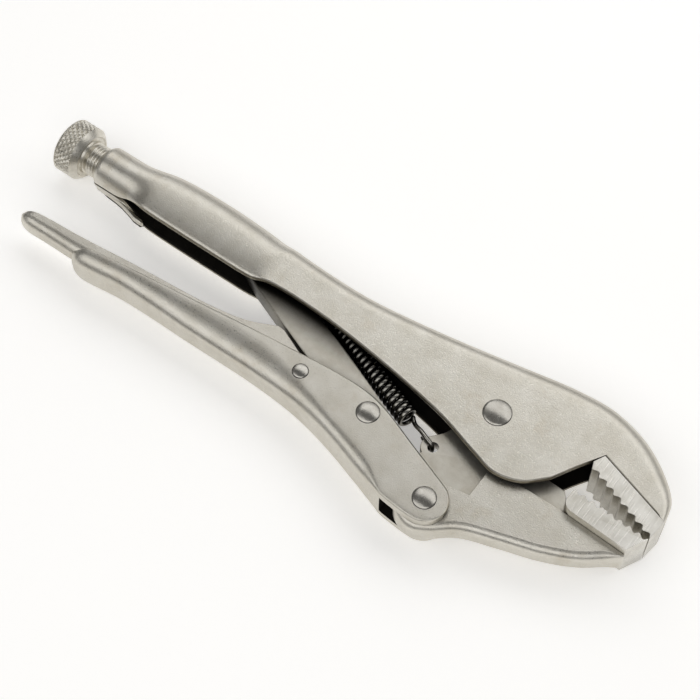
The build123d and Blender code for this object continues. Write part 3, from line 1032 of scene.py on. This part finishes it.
@dataclass
class LowerJaw:
    """Toothed block on a core plate, wrapped from below by a folded shell."""

    keel_round: float = 2.6
    boss: float = 8.8
    lobe: float = 4.2
    spring_hole: float = 1.9
    keel: Sequence[Point] = ((12.0, -36.9), (24.7, -32.5), (36.0, -28.4), (47.0, -23.2), (56.2, -17.4))

    def build(self, shop: Workshop) -> None:
        """Make the core with its block, and the shell."""
        self._core(shop)
        self._shell(shop)

    def _core(self, shop: Workshop) -> None:
        """The toothed block and the plate with the spring hole."""
        top = teeth((34.9, -7.9), (62.2, -9.1), -1)
        corner = [(37.6, -15.4), (36.4, -15.1), (35.3, -14.4), (34.6, -13.4)]
        corner += [(34.3, -12.2), (34.4, -9.4), (34.6, -8.4)]
        rim = [*top, BLOCK_FLOOR_END, *corner]
        block = plate("lower_jaw_block", rim, -HANDLE_HALF, HANDLE_HALF, 0.3)
        outline = [
            (-8.8, -8.0), (-11.2, -13.4),
            *arc(SPRING_HOLE, self.lobe, range(130, 241, 10)),
            (-14.5, -25.5), (-8.4, -38.5), (-6.5, -43.0), (-1.7, -45.2), (4.0, -42.4),
            *self.keel,
            (56.2, -14.0), (36.0, -13.5), (31.6, -7.8), (20.0, -7.4), (10.0, -3.0),
            *arc((0.0, 0.0), self.boss, range(0, 181, 12)),
        ]
        core = plate("core", outline, -CORE_HALF, CORE_HALF, 0.25)
        hole = arc(SPRING_HOLE, self.spring_hole, (k * 7.5 for k in range(48)))
        cut(core, plate("drill", hole, -12.0, 12.0, 0.0))
        jaw = join([block, core])
        shop.dress(jaw, (GROUND_STEEL, FORGED_PLATE), Body.JAW, ["lower_jaw"])
        self._plate_core(jaw)

    @staticmethod
    def _plate_core(jaw: bpy.types.Object) -> None:
        """Use the plated finish on the flat sides of the core plate."""
        for polygon in jaw.data.polygons:
            level = abs(polygon.normal.z) > 0.9
            if level and abs(polygon.center.z - CENTRE.z) < (CORE_HALF + 0.1) * MM:
                polygon.material_index = 1

    def _shell(self, shop: Workshop) -> None:
        """The folded shell: a rounded keel below, and crisp edges at its recess and the block."""
        keel = Path(
            [
                [
                    (58.9, -17.0), (48.4, -25.6), (37.0, -31.2), (24.7, -35.2), (12.0, -39.8),
                    (4.0, -46.0), (-1.7, -48.2), (-8.6, -45.4), (-11.3, -39.5), (-10.6, -34.5),
                    (-8.6, -31.6),
                ],
            ]
        )
        steps = 72
        outline = [(p.x, p.y) for p in (keel.at(k / steps) for k in range(steps + 1))]
        radii = [mix(0.5, self.keel_round, smooth(0.0, 0.08, k / steps)) for k in range(steps + 1)]
        radii = [mix(r, 0.3, smooth(0.88, 1.0, k / steps)) for k, r in enumerate(radii)]
        ear = arc((0.0, 0.0), self.boss + 0.1, range(300, -41, -12))
        outline += [(-4.0, -29.8), (8.4, -28.0), (8.4, -12.0), *ear, (12.5, -8.6), (19.5, -15.5)]
        outline += [BLOCK_FLOOR_START, BLOCK_FLOOR_END]
        radii += [0.25] * (len(outline) - len(radii))
        outline.reverse()
        radii.reverse()
        shell = pillow("lower_jaw_shell_folded", outline, radii, SHELL_HALF)
        shop.dress(shell, (SATIN_NICKEL,), Body.JAW, ["lower_jaw_shell"])


# ---------------------------------------------------------------- lower handle


@dataclass
class LowerHandle:
    """Pressed channel round the jaw boss, open towards the upper handle."""

    boss: float = 8.0
    tail: float = -152.6
    web_end: float = -14.0
    grip_fold: float = 10.0
    grip_rise: float = 4.6
    head_fold: float = 5.0
    head_rise: float = 4.2
    ear_fold: float = 0.9

    def _boss_point(self, degrees: float) -> Point:
        """A point of the boss's rim, by its direction from the jaw rivet."""
        return arc(JAW_PIVOT, self.boss, [degrees])[0]

    def _web(self) -> Path:
        """Line of the web from the tail to the end of the boss."""
        return Path(
            [
                [
                    (self.tail, -33.2), (self.tail + 1.2, -34.7), (-148.4, -35.5), (-143.0, -35.2),
                    (-132.0, -33.9), (-118.0, -33.6), (-104.0, -33.7), (-73.0, -33.6), (-55.0, -34.9),
                    (-39.7, -38.2), (-24.0, -43.0), (-16.0, -45.0), (self.web_end, -45.6),
                    (-6.0, -46.4), self._boss_point(270),
                ],
                arc(JAW_PIVOT, self.boss, range(270, 361, 15)),
            ]
        )

    def _rim(self) -> Path:
        """Line of the walls' free edge from the tail to the end of the boss."""
        return Path(
            [
                [
                    (self.tail + 0.4, -32.0), (-150.0, -30.6), (-146.5, -29.0), (-138.0, -27.7),
                    (-110.0, -24.4), (-72.5, -20.1), (-44.0, -17.8), (-32.9, -18.9), (-13.2, -25.8),
                    self._boss_point(72),
                ],
                arc(JAW_PIVOT, self.boss, range(72, -13, -12)),
            ]
        )

    def _section(self, web: Vector, rim: Vector) -> Section:
        """Cross-section: spoon at the tail, deep round channel, flat ears at the boss."""
        depth = (rim - web).length
        flat = smooth(-26.0, -13.0, web.x)
        half = mix(3.0, LOWER_HALF, spoon(self.tail + 7.0 - web.x, 7.3))
        wall = min(LOWER_HALF - LOWER_INNER_HALF, half * 0.45)
        grip = 1.0 - smooth(-80.0, -40.0, web.x)
        return Section(
            depth=depth,
            half_width=half,
            fold=min(mix(mix(self.head_fold, self.grip_fold, grip), self.ear_fold, flat), depth * 0.86),
            fold_rise=mix(mix(self.head_rise, self.grip_rise, grip), self.ear_fold, flat),
            bare=web.x > self.web_end + 0.02,
            sheet=min(SHEET, depth * 0.6),
            wall_sheet=wall,
            rounding=0.7,
        )

    def build(self, shop: Workshop) -> None:
        """Make the channel, whose web ends short of the jaw."""
        end = self._boss_point(-10)
        ties = (
            ((self.tail, -33.2), (self.tail + 0.4, -32.0)),
            ((-147.0, -35.5), (-146.5, -29.0)),
            ((-110.0, -33.6), (-110.0, -24.4)),
            ((-73.0, -33.3), (-72.5, -20.1)),
            ((-40.0, -38.0), (-44.0, -17.8)),
            ((-20.0, -44.4), (-18.0, -24.0)),
            ((self.web_end, -45.6), (-10.6, -27.0)),
            ((self.web_end + 0.05, -45.6), (-10.55, -27.0)),
            (self._boss_point(265), self._boss_point(80)),
            (self._boss_point(310), self._boss_point(48)),
            ((end[0], end[1] - 0.6), (end[0], end[1] + 0.6)),
        )
        pairs = stations(self._web(), self._rim(), ties)
        handle = channel("lower_handle_channel", pairs, self._section, 1, 2)
        # the inner faces take the near-black of painted shade
        coats = (SATIN_NICKEL, SHADE_BLACK, SHEARED_EDGE)
        shop.dress(handle, coats, Body.HANDLE, ["lower_handle"])


# ---------------------------------------------------------------- lever and link


@dataclass
class ReleaseLever:
    """Narrow channel nested in the lower handle, with a cam nose against the link."""

    half_width: float = 4.45
    sheet: float = 1.8
    tail: float = -178.0

    def build(self, shop: Workshop) -> None:
        """Make the lever."""
        web = Path(
            [
                [
                    (self.tail, -30.6), (self.tail + 0.9, -31.9), (-174.3, -32.6), (-166.0, -32.5),
                    (-150.0, -32.3), (-140.0, -31.4), (-125.0, -30.4), (-100.0, -30.1), (-57.0, -30.0),
                ],
            ]
        )
        rim = Path(
            [
                [
                    (self.tail + 0.3, -29.4), (-176.6, -28.2), (-173.4, -27.1), (-154.6, -25.7),
                    (-133.7, -23.7), (-100.0, -20.8), (-88.0, -18.4), (-77.8, -13.9),
                ],
                [(-77.8, -13.9), (-75.2, -14.1)],
                [(-75.2, -14.1), (-62.4, -19.6)],
                [(-62.4, -19.6), (-57.4, -21.2), (-55.3, -25.1)],
            ]
        )
        ties = (
            ((self.tail, -30.6), (self.tail + 0.3, -29.4)),
            ((-170.0, -32.5), (-170.0, -26.8)),
            ((-133.7, -30.9), (-133.7, -23.7)),
            ((-100.0, -30.1), (-100.0, -20.8)),
            ((-77.8, -30.0), (-77.8, -13.9)),
            ((-75.2, -30.0), (-75.2, -14.1)),
            ((-62.4, -30.0), (-62.4, -19.6)),
            ((-57.0, -30.0), (-55.8, -24.0)),
        )

        def section(web_point: Vector, rim_point: Vector) -> Section:
            """Cross-section of the lever, rounded off at its tail."""
            depth = (rim_point - web_point).length
            half = mix(2.0, self.half_width, spoon(self.tail + 5.0 - web_point.x, 5.2))
            return Section(
                depth=depth,
                half_width=half,
                fold=min(4.6, depth * 0.6),
                fold_rise=3.4,
                sheet=min(self.sheet, depth * 0.6),
                wall_sheet=min(self.sheet, half * 0.45),
                rounding=0.35,
            )

        lever = channel("release_lever_channel", stations(web, rim, ties, 1.2), section)
        shop.dress(lever, (SATIN_NICKEL,), Body.LEVER, ["release_lever"])


@dataclass
class ToggleLink:
    """Thick flat bar from the link rivet to the tip of the screw."""

    eye: float = 7.0
    tip: float = 4.0

    def build(self, shop: Workshop) -> None:
        """Make the bar with its rounded ends."""
        run = Vector(LINK_TIP) - Vector(LINK_PIVOT)
        along = run.normalized()
        across = Vector((-along.y, along.x))

        def spot(x: float, y: float) -> Point:
            """A point in the bar's own axes, as plan coordinates."""
            p = Vector(LINK_PIVOT) + along * x + across * y
            return (p.x, p.y)

        tip = arc((run.length, 0.0), self.tip, range(80, -81, -16))
        eye = arc((0.0, 0.0), self.eye, range(-96, -226, -12))
        edge = [(66.0, -4.4), (52.0, -5.9), (40.0, -6.9), (30.0, -7.4)]
        outline = [(20.0, 4.9), (62.0, 4.9), *tip, *edge, *eye]
        bar = plate("toggle_link_bar", [spot(*point) for point in outline], -LINK_HALF, LINK_HALF, 0.45)
        shop.dress(bar, (SHADOWED_BAR,), Body.LINK, ["toggle_link"])


# ---------------------------------------------------------------- screw, spring and rivets


@dataclass
class AdjustingScrew:
    """Threaded shank and its knurled knob."""

    shank: float = 5.4
    neck: float = 6.1
    thread_depth: float = 0.62
    neck_end: float = -174.4
    tip: float = -113.5
    knob_start: float = -185.7
    knob_radius: float = 10.1
    knurl_end: float = -177.8
    face: float = -175.7
    knurl_pitch: float = 2.3
    knurl_depth: float = 0.6
    knurl_width: float = 0.62
    edge_drop: float = 0.12
    flank_slope: float = 2.6
    ease: tuple[float, float] = (-167.0, -160.0)
    stem: float = 4.0
    tip_chamfer: float = 1.6

    @staticmethod
    def _rim(bm: bmesh.types.BMesh, along: float, radii: Sequence[float]) -> list[bmesh.types.BMVert]:
        """A ring of vertices round the screw's axis, one for each radius."""
        turns = [k / len(radii) * math.tau for k in range(len(radii))]
        return [
            bm.verts.new(at(along, SCREW_Y + radius * math.cos(turn), radius * math.sin(turn)))
            for turn, radius in zip(turns, radii)
        ]

    def build(self, shop: Workshop) -> None:
        """Make the shank and the knob."""
        shop.dress(self._shank(), (SCREW_STEEL,), Body.SCREW, ["adjusting_screw"])
        shop.dress(self._knob(), (SCREW_STEEL,), Body.KNOB, ["adjusting_knob"])

    def _shank(self) -> bpy.types.Object:
        """The shank with its helical thread."""
        around, steps = 48, 8
        rows = math.ceil((self.tip - 1.2 - self.neck_end) / THREAD_PITCH * steps)
        bm = bmesh.new()
        rings = []
        for row in range(rows + 1):
            along = mix(self.neck_end, self.tip - 1.2, row / rows)
            ends = smooth(0.0, 1.0, along - self.neck_end) * smooth(0.0, 1.2, self.tip - 1.2 - along)
            crest = mix(self.neck, self.shank, smooth(*self.ease, along))
            radii = []
            for k in range(around):
                phase = (along / THREAD_PITCH - k / around) % 1.0
                flank = min(abs(phase - 0.5) * self.flank_slope, 1.0)
                radii.append(crest - self.thread_depth * (1.0 - flank * ends))
            rings.append(self._rim(bm, along, radii))
        bridge(bm, rings)
        stem = (rings[0], self.neck_end - 6.0, self.stem)
        point = (rings[-1], self.tip, self.shank - self.tip_chamfer)
        for end, along, radius in (stem, point):
            last = self._rim(bm, along, [radius] * around)
            bridge(bm, (end, last))
            bm.faces.new(last)
        return finish_mesh("adjusting_screw_thread", bm, 60.0)

    def _knob(self) -> bpy.types.Object:
        """The knob: diamond knurl, chamfers, plain inner face and filleted neck."""
        around, rows = 288, 44
        knurl_start = self.knob_start + 0.9
        bm = bmesh.new()
        rings = []
        profile: list[tuple[float, float, float]] = [
            (self.knob_start, 0.001, 0.0),
            (self.knob_start, 3.0, 0.0),
            (self.knob_start, self.knob_radius - 1.5, 0.0),
            (self.knob_start + 0.15, self.knob_radius - 0.95, 0.0),
        ]
        for row in range(rows + 1):
            share = row / rows
            fade = smooth(0.0, 0.06, share) * smooth(0.0, 0.06, 1.0 - share)
            profile.append((mix(knurl_start, self.knurl_end, share), self.knob_radius, fade))
        profile += [
            (self.knurl_end + 0.9, self.knob_radius - 0.75, 0.0),
            (self.face - 0.25, self.knob_radius - 1.75, 0.0),
            (self.face, self.knob_radius - 2.05, 0.0),
            (self.face - 0.3, self.knob_radius - 2.4, 0.0),
            (self.face - 0.5, self.knob_radius - 2.6, 0.0),
            (self.face - 0.5, self.neck + 0.35, 0.0),
            (self.face - 0.2, self.neck + 0.1, 0.0),
            (self.face + 0.5, self.neck, 0.0),
            (self.neck_end - 0.7, self.neck, 0.0),
            (self.neck_end - 0.4, self.neck - 0.45, 0.0),
            (self.neck_end - 0.05, 4.1, 0.0),
        ]
        counts = round(math.tau * self.knob_radius / self.knurl_pitch)
        for along, base, fade in profile:
            radii = [base] * around
            if fade:
                lead = along / self.knurl_pitch
                for k in range(around):
                    turn = k / around * counts
                    one = abs((turn + lead) % 1.0 - 0.5) * 2.0
                    two = abs((turn - lead) % 1.0 - 0.5) * 2.0
                    groove = max(1.0 - min(one, two) / self.knurl_width, 0.0)
                    radii[k] -= self.knurl_depth * groove * fade + self.edge_drop * (1.0 - fade)
            rings.append(self._rim(bm, along, radii))
        bridge(bm, rings)
        for end in (rings[0], rings[-1]):
            bm.faces.new(end)
        return finish_mesh("adjusting_knob_knurled", bm, 34.0)


@dataclass
class ReturnSpring:
    """Close-coiled spring from the upper handle's tab to the tail of the jaw."""

    radius: float = 3.25
    wire: float = 0.78
    pitch: float = 2.2
    rear: float = 4.5
    front: float = 13.0

    def build(self, shop: Workshop) -> None:
        """Make the coil with its two hooks."""
        start, end = Vector(SPRING_TAB), Vector(SPRING_HOLE)
        run = end - start
        along = run.normalized()
        across = Vector((-along.y, along.x))
        coil_end = run.length - self.front
        turns = (coil_end - self.rear) / self.pitch

        def spot(x: float, y: float, z: float) -> Vector:
            """A point in the spring's own axes."""
            p = start + along * x + across * y
            return at(p.x, p.y, z)

        line = [spot(0.6, -0.6, 1.4), spot(0.0, 0.0, 0.3), spot(1.2, 0.6, -0.5), spot(2.8, 0.4, -0.4)]
        steps = 22
        for k in range(int(turns * steps) + 1):
            turn = k / steps * math.tau
            ease = smooth(0.0, 0.8, k / steps) * smooth(0.0, 0.6, turns - k / steps)
            radius = mix(1.2, self.radius, ease)
            reach = self.rear + k / steps * self.pitch
            line.append(spot(reach, radius * math.cos(turn), radius * math.sin(turn)))
        reach = run.length
        line += [
            spot(coil_end + 1.6, 0.5, 0.3),
            spot(coil_end + 3.2, 0.1, 0.9),
            spot(coil_end + 6.0, 0.0, 2.2),
            spot(reach - 3.2, -0.2, 2.85),
            spot(reach - 1.4, 0.0, 2.5),
            spot(reach - 0.6, 0.0, 1.2),
            spot(reach - 0.4, 0.0, -0.6),
            spot(reach - 1.2, 0.0, -2.2),
            spot(reach - 3.4, 0.2, -2.9),
            spot(coil_end + 6.2, 0.6, -2.0),
        ]
        spring = sweep("return_spring_coil", self._eased(line), self.wire)
        spring.data.materials.append(shop.material(SPRING_WIRE))
        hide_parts("return_spring")
        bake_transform(spring)
        LOG.info("%s: %d faces", spring.name, len(spring.data.polygons))

    @staticmethod
    def _eased(line: Sequence[Vector]) -> list[Vector]:
        """The same line with two more points in each step, on a smooth curve."""
        padded = [line[0] * 2 - line[1], *line, line[-1] * 2 - line[-2]]
        dense = []
        for before, a, b, after in zip(padded, padded[1:], padded[2:], padded[3:]):
            for t in (0.0, 0.34, 0.67):
                dense.append(
                    a * (1 + t * t * (2 * t - 3))
                    + b * (t * t * (3 - 2 * t))
                    + (b - before) * 0.5 * (t * (1 - t) ** 2)
                    - (after - a) * 0.5 * (t * t * (1 - t))
                )
        return [*dense, line[-1]]


@dataclass
class Rivet:
    """A set rivet with a low polished dome on each face of the tool."""

    node: str
    centre: Point
    head: float
    shank: float
    face: float
    body: Body
    rim: float = 0.3
    dome: float = 0.8
    ring: float = 0.14

    def build(self, shop: Workshop) -> None:
        """Make the rivet, its two domes and a dark ring of painted shadow round each."""
        half: list[Point] = []
        steps = 9
        for k in range(steps + 1):
            share = k / steps
            half.append((self.face + self.rim + self.dome * (1 - share**2.2), self.head * 0.97 * share))
        half += [
            (self.face + self.rim * 0.6, self.head),
            (self.face + self.rim * 0.25, self.head + self.ring),
            (self.face + 0.01, self.head + self.ring),
            (self.face + 0.01, self.head - 0.4),
            (self.face - 0.3, self.head - 0.4),
            (self.face - 0.3, self.shank),
        ]
        profile = [*half, *((-z, r) for z, r in reversed(half))]

        def place(along: float, across: float, out: float) -> Vector:
            """A point from its height and its distances from the rivet's axis."""
            return at(self.centre[0] + across, self.centre[1] + out, along)

        rivet = lathe(f"{self.node}_domed", profile, place)
        # the ring and the underside of each head take a painted shadow
        for polygon in rivet.data.polygons:
            height = abs(polygon.center.z - CENTRE.z) / MM
            polygon.material_index = int(height < self.face + self.rim * 0.5)
        shop.dress(rivet, (POLISHED_RIVET, SHADE_BLACK), self.body, [self.node])


@dataclass
class Rivets:
    """The four pivots of the tool."""

    items: Sequence[Rivet] = field(
        default_factory=lambda: (
            Rivet("main_rivet", (0.0, 0.0), 4.7, 3.2, HANDLE_HALF, Body.UPPER),
            Rivet("jaw_rivet", JAW_PIVOT, 3.85, 2.7, LOWER_HALF, Body.HANDLE),
            Rivet("link_rivet", LINK_PIVOT, 3.85, 2.7, LOWER_HALF, Body.HANDLE),
            Rivet("lever_rivet", LEVER_PIVOT, 2.65, 1.8, LOWER_HALF, Body.HANDLE, dome=0.5),
        )
    )

    def build(self, shop: Workshop) -> None:
        """Make each rivet."""
        for item in self.items:
            item.build(shop)


# ---------------------------------------------------------------- studio


@dataclass(frozen=True)
class Softbox:
    """A long rectangular light along the tool.

    Tilt is in degrees from the zenith towards the front of the tool. Width and
    length along X are metres, power is watts.
    """

    name: str
    tilt: float
    width: float
    power: float
    length: float = 1.6
    reach: float = 0.75

    def build(self, middle: Vector) -> None:
        """Make the light, facing a point."""
        data = bpy.data.lights.new(self.name, "AREA")
        data.shape = "RECTANGLE"
        data.size, data.size_y = self.length, self.width
        data.energy = self.power
        lamp = linked(self.name, data)
        turn = math.radians(self.tilt)
        out = Vector((0.0, -math.sin(turn), math.cos(turn)))
        along = Vector((1.0, 0.0, 0.0))
        turned = Matrix((along, out.cross(along), out)).transposed().to_4x4()
        lamp.matrix_world = Matrix.Translation(middle + out * self.reach) @ turned


@dataclass
class Studio:
    """Pale floor, soft lights and the camera."""

    azimuth: float = 36.25
    elevation: float = 60.0
    distance: float = 583.3
    lens: float = 90.0
    aim: tuple[float, float, float] = (-54.7, -5.5, 0.0)
    table: str = "#fbfaf8"
    table_half: float = 2.0
    table_glow: float = 0.37
    surroundings: float = 0.15
    lights: tuple[Softbox, ...] = (
        Softbox("front softbox", tilt=38.0, width=0.56, power=3.0),
        Softbox("rear softbox", tilt=-38.0, width=0.5, power=2.9),
        Softbox("rear fill", tilt=-66.0, width=0.3, power=0.7),
    )

    def _direction(self, azimuth: float, elevation: float) -> Vector:
        """Unit vector from the tool towards a viewer."""
        a, e = math.radians(azimuth), math.radians(elevation)
        return Vector((math.sin(a) * math.cos(e), -math.cos(a) * math.cos(e), math.sin(e)))

    def build(self) -> None:
        """Make the floor, the world, the lights and the camera."""
        self._floor()
        self._world()
        middle = at(*self.aim)
        for light in self.lights:
            light.build(middle)
        self._camera(middle)

    def _floor(self) -> None:
        """A large pale light table under the tool."""
        bm = bmesh.new()
        half = self.table_half
        corners = ((-half, -half), (half, -half), (half, half), (-half, half))
        bm.faces.new([bm.verts.new((x, y, CAD_BOX[0][2])) for x, y in corners])
        floor = finish_mesh("floor", bm)
        paper = bpy.data.materials.new("white light table")
        paper.use_nodes = True
        shader = paper.node_tree.nodes["Principled BSDF"]
        shader.inputs["Base Color"].default_value = linear(self.table)
        shader.inputs["Roughness"].default_value = 0.8
        shader.inputs["Emission Color"].default_value = linear(self.table)
        shader.inputs["Emission Strength"].default_value = self.table_glow
        floor.data.materials.append(paper)

    def _world(self) -> None:
        """Dim even surroundings, which fill the gaps between the lights."""
        world = bpy.data.worlds.new("studio")
        world.use_nodes = True
        background = world.node_tree.nodes["Background"]
        background.inputs["Color"].default_value = linear("#ffffff")
        background.inputs["Strength"].default_value = self.surroundings
        bpy.context.scene.world = world

    def _camera(self, middle: Vector) -> None:
        """The camera at the viewing angle."""
        data = bpy.data.cameras.new("camera")
        data.lens = self.lens
        data.sensor_width = 36.0
        data.clip_start = 0.01
        camera = linked("camera", data)
        back = self._direction(self.azimuth, self.elevation)
        camera.location = middle + back * self.distance * MM
        camera.rotation_euler = back.to_track_quat("Z", "Y").to_euler()
        bpy.context.scene.camera = camera


def main() -> None:
    """Build every sub-assembly in order, then the studio."""
    logging.basicConfig(level=logging.INFO, format="%(name)s %(message)s")
    shop = Workshop()
    handles = (UpperHandle(), LowerJaw(), LowerHandle())
    inner_parts = (ReleaseLever(), ToggleLink(), AdjustingScrew(), ReturnSpring(), Rivets())
    for assembly in (*handles, *inner_parts):
        assembly.build(shop)
    Studio().build()
    bpy.context.scene.view_settings.view_transform = "Standard"


if __name__ == "__main__":
    main()
